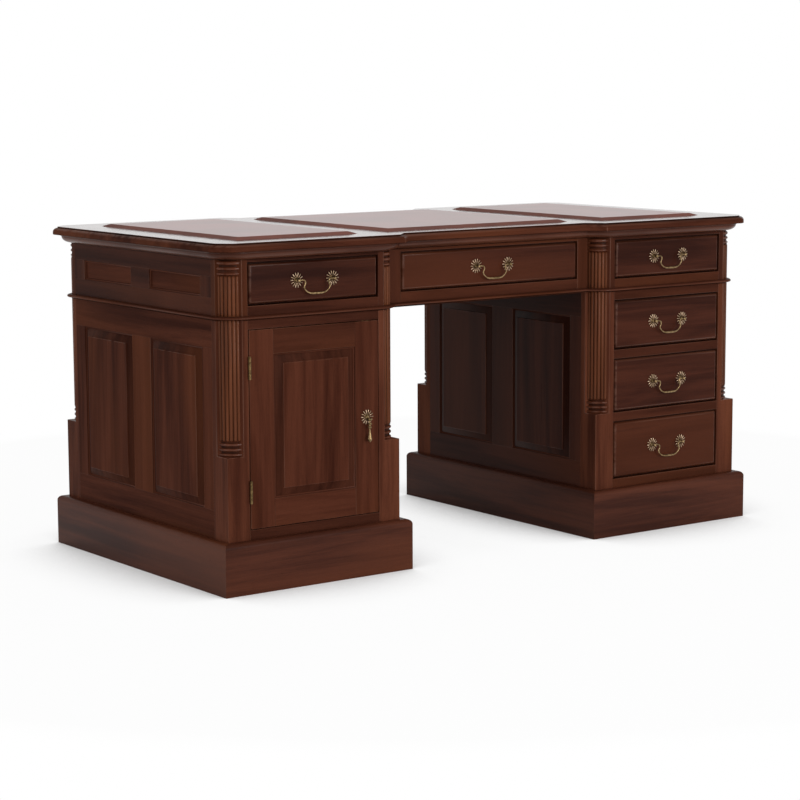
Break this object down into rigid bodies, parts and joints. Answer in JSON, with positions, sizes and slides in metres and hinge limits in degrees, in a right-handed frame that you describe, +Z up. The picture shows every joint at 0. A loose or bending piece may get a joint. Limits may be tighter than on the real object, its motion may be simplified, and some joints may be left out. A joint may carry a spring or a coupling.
{
  "type": "partners desk",
  "caption": "Mahogany partners desk with pedestals, reeded corner columns, breakfront leather-lined top and brass swan-neck handles",
  "frame": {"origin": "on the floor, in the middle between the two pedestals", "axes": "+X along the length of the desk, -Y towards the front, +Z up"},
  "size_m": [1.6, 0.8, 0.7855],
  "materials": {
    "mahogany": "polished dark mahogany",
    "inner_wood": "plain sanded hardwood",
    "top_leather": "waxed oxblood leather with tooled border",
    "antique_brass": "aged cast brass"
  },
  "bodies": {
    "carcase": {"top_board": "mahogany", "leather_panels": "top_leather", "bed_moulding": "mahogany", "frieze_frame": "mahogany", "waist_bead": "mahogany", "corner_posts": "mahogany", "corner_columns": "mahogany", "right_pedestal": "mahogany", "left_pedestal": "mahogany", "side_panels": "mahogany", "plinths": "mahogany", "drawer_runners": "inner_wood", "shelves": "inner_wood", "door_fixed_brass": "antique_brass"},
    "front_frieze_left_drawer_body": {"front_frieze_left_drawer": "mahogany", "front_frieze_left_handle_plates": "antique_brass"},
    "front_frieze_left_bail_body": {"front_frieze_left_bail": "antique_brass"},
    "front_frieze_centre_drawer_body": {"front_frieze_centre_drawer": "mahogany", "front_frieze_centre_handle_plates": "antique_brass"},
    "front_frieze_centre_bail_body": {"front_frieze_centre_bail": "antique_brass"},
    "front_frieze_right_drawer_body": {"front_frieze_right_drawer": "mahogany", "front_frieze_right_handle_plates": "antique_brass"},
    "front_frieze_right_bail_body": {"front_frieze_right_bail": "antique_brass"},
    "front_pedestal_bottom_drawer_body": {"front_pedestal_bottom_drawer": "mahogany", "front_pedestal_bottom_handle_plates": "antique_brass"},
    "front_pedestal_bottom_bail_body": {"front_pedestal_bottom_bail": "antique_brass"},
    "front_pedestal_middle_drawer_body": {"front_pedestal_middle_drawer": "mahogany", "front_pedestal_middle_handle_plates": "antique_brass"},
    "front_pedestal_middle_bail_body": {"front_pedestal_middle_bail": "antique_brass"},
    "front_pedestal_top_drawer_body": {"front_pedestal_top_drawer": "mahogany", "front_pedestal_top_handle_plates": "antique_brass"},
    "front_pedestal_top_bail_body": {"front_pedestal_top_bail": "antique_brass"},
    "front_door_body": {"front_door_frame": "mahogany", "front_door_panel": "mahogany", "front_door_hinge_leaves": "antique_brass", "front_door_drop_plate": "antique_brass"},
    "front_door_drop_body": {"front_door_drop": "antique_brass"},
    "back_frieze_left_drawer_body": {"back_frieze_left_drawer": "mahogany", "back_frieze_left_handle_plates": "antique_brass"},
    "back_frieze_left_bail_body": {"back_frieze_left_bail": "antique_brass"},
    "back_frieze_centre_drawer_body": {"back_frieze_centre_drawer": "mahogany", "back_frieze_centre_handle_plates": "antique_brass"},
    "back_frieze_centre_bail_body": {"back_frieze_centre_bail": "antique_brass"},
    "back_frieze_right_drawer_body": {"back_frieze_right_drawer": "mahogany", "back_frieze_right_handle_plates": "antique_brass"},
    "back_frieze_right_bail_body": {"back_frieze_right_bail": "antique_brass"},
    "back_pedestal_bottom_drawer_body": {"back_pedestal_bottom_drawer": "mahogany", "back_pedestal_bottom_handle_plates": "antique_brass"},
    "back_pedestal_bottom_bail_body": {"back_pedestal_bottom_bail": "antique_brass"},
    "back_pedestal_middle_drawer_body": {"back_pedestal_middle_drawer": "mahogany", "back_pedestal_middle_handle_plates": "antique_brass"},
    "back_pedestal_middle_bail_body": {"back_pedestal_middle_bail": "antique_brass"},
    "back_pedestal_top_drawer_body": {"back_pedestal_top_drawer": "mahogany", "back_pedestal_top_handle_plates": "antique_brass"},
    "back_pedestal_top_bail_body": {"back_pedestal_top_bail": "antique_brass"},
    "back_door_body": {"back_door_frame": "mahogany", "back_door_panel": "mahogany", "back_door_hinge_leaves": "antique_brass", "back_door_drop_plate": "antique_brass"},
    "back_door_drop_body": {"back_door_drop": "antique_brass"}
  },
  "joints": [
    {"name": "front_frieze_left_slide", "type": "slide", "parent": "carcase", "child": "front_frieze_left_drawer_body", "axis": [0, -1, 0], "range_m": [0, 0.26]},
    {"name": "front_frieze_left_bail_swing", "type": "hinge", "parent": "front_frieze_left_drawer_body", "child": "front_frieze_left_bail_body", "pos_m": [-0.534, -0.38, 0.69], "axis": [-1, 0, 0], "range_deg": [-12, 160]},
    {"name": "front_frieze_centre_slide", "type": "slide", "parent": "carcase", "child": "front_frieze_centre_drawer_body", "axis": [0, -1, 0], "range_m": [0, 0.23]},
    {"name": "front_frieze_centre_bail_swing", "type": "hinge", "parent": "front_frieze_centre_drawer_body", "child": "front_frieze_centre_bail_body", "pos_m": [0, -0.344, 0.691], "axis": [-1, 0, 0], "range_deg": [-12, 160]},
    {"name": "front_frieze_right_slide", "type": "slide", "parent": "carcase", "child": "front_frieze_right_drawer_body", "axis": [0, -1, 0], "range_m": [0, 0.26]},
    {"name": "front_frieze_right_bail_swing", "type": "hinge", "parent": "front_frieze_right_drawer_body", "child": "front_frieze_right_bail_body", "pos_m": [0.534, -0.38, 0.69], "axis": [-1, 0, 0], "range_deg": [-12, 160]},
    {"name": "front_pedestal_bottom_slide", "type": "slide", "parent": "carcase", "child": "front_pedestal_bottom_drawer_body", "axis": [0, -1, 0], "range_m": [0, 0.26]},
    {"name": "front_pedestal_bottom_bail_swing", "type": "hinge", "parent": "front_pedestal_bottom_drawer_body", "child": "front_pedestal_bottom_bail_body", "pos_m": [0.534, -0.38, 0.215], "axis": [-1, 0, 0], "range_deg": [-12, 160]},
    {"name": "front_pedestal_middle_slide", "type": "slide", "parent": "carcase", "child": "front_pedestal_middle_drawer_body", "axis": [0, -1, 0], "range_m": [0, 0.26]},
    {"name": "front_pedestal_middle_bail_swing", "type": "hinge", "parent": "front_pedestal_middle_drawer_body", "child": "front_pedestal_middle_bail_body", "pos_m": [0.534, -0.38, 0.37675], "axis": [-1, 0, 0], "range_deg": [-12, 160]},
    {"name": "front_pedestal_top_slide", "type": "slide", "parent": "carcase", "child": "front_pedestal_top_drawer_body", "axis": [0, -1, 0], "range_m": [0, 0.26]},
    {"name": "front_pedestal_top_bail_swing", "type": "hinge", "parent": "front_pedestal_top_drawer_body", "child": "front_pedestal_top_bail_body", "pos_m": [0.534, -0.38, 0.528], "axis": [-1, 0, 0], "range_deg": [-12, 160]},
    {"name": "front_door_swing", "type": "hinge", "parent": "carcase", "child": "front_door_body", "pos_m": [-0.709, -0.3715, 0.364], "axis": [0, 0, -1], "range_deg": [0, 170]},
    {"name": "front_door_drop_swing", "type": "hinge", "parent": "front_door_body", "child": "front_door_drop_body", "pos_m": [-0.392, -0.379, 0.361], "axis": [-1, 0, 0], "range_deg": [-6, 90]},
    {"name": "back_frieze_left_slide", "type": "slide", "parent": "carcase", "child": "back_frieze_left_drawer_body", "axis": [0, 1, 0], "range_m": [0, 0.26]},
    {"name": "back_frieze_left_bail_swing", "type": "hinge", "parent": "back_frieze_left_drawer_body", "child": "back_frieze_left_bail_body", "pos_m": [0.534, 0.38, 0.69], "axis": [1, 0, 0], "range_deg": [-12, 160]},
    {"name": "back_frieze_centre_slide", "type": "slide", "parent": "carcase", "child": "back_frieze_centre_drawer_body", "axis": [0, 1, 0], "range_m": [0, 0.23]},
    {"name": "back_frieze_centre_bail_swing", "type": "hinge", "parent": "back_frieze_centre_drawer_body", "child": "back_frieze_centre_bail_body", "pos_m": [0, 0.344, 0.691], "axis": [1, 0, 0], "range_deg": [-12, 160]},
    {"name": "back_frieze_right_slide", "type": "slide", "parent": "carcase", "child": "back_frieze_right_drawer_body", "axis": [0, 1, 0], "range_m": [0, 0.26]},
    {"name": "back_frieze_right_bail_swing", "type": "hinge", "parent": "back_frieze_right_drawer_body", "child": "back_frieze_right_bail_body", "pos_m": [-0.534, 0.38, 0.69], "axis": [1, 0, 0], "range_deg": [-12, 160]},
    {"name": "back_pedestal_bottom_slide", "type": "slide", "parent": "carcase", "child": "back_pedestal_bottom_drawer_body", "axis": [0, 1, 0], "range_m": [0, 0.26]},
    {"name": "back_pedestal_bottom_bail_swing", "type": "hinge", "parent": "back_pedestal_bottom_drawer_body", "child": "back_pedestal_bottom_bail_body", "pos_m": [-0.534, 0.38, 0.215], "axis": [1, 0, 0], "range_deg": [-12, 160]},
    {"name": "back_pedestal_middle_slide", "type": "slide", "parent": "carcase", "child": "back_pedestal_middle_drawer_body", "axis": [0, 1, 0], "range_m": [0, 0.26]},
    {"name": "back_pedestal_middle_bail_swing", "type": "hinge", "parent": "back_pedestal_middle_drawer_body", "child": "back_pedestal_middle_bail_body", "pos_m": [-0.534, 0.38, 0.37675], "axis": [1, 0, 0], "range_deg": [-12, 160]},
    {"name": "back_pedestal_top_slide", "type": "slide", "parent": "carcase", "child": "back_pedestal_top_drawer_body", "axis": [0, 1, 0], "range_m": [0, 0.26]},
    {"name": "back_pedestal_top_bail_swing", "type": "hinge", "parent": "back_pedestal_top_drawer_body", "child": "back_pedestal_top_bail_body", "pos_m": [-0.534, 0.38, 0.528], "axis": [1, 0, 0], "range_deg": [-12, 160]},
    {"name": "back_door_swing", "type": "hinge", "parent": "carcase", "child": "back_door_body", "pos_m": [0.709, 0.3715, 0.364], "axis": [0, 0, -1], "range_deg": [0, 170]},
    {"name": "back_door_drop_swing", "type": "hinge", "parent": "back_door_body", "child": "back_door_drop_body", "pos_m": [0.392, 0.379, 0.361], "axis": [1, 0, 0], "range_deg": [-6, 90]}
  ]
}
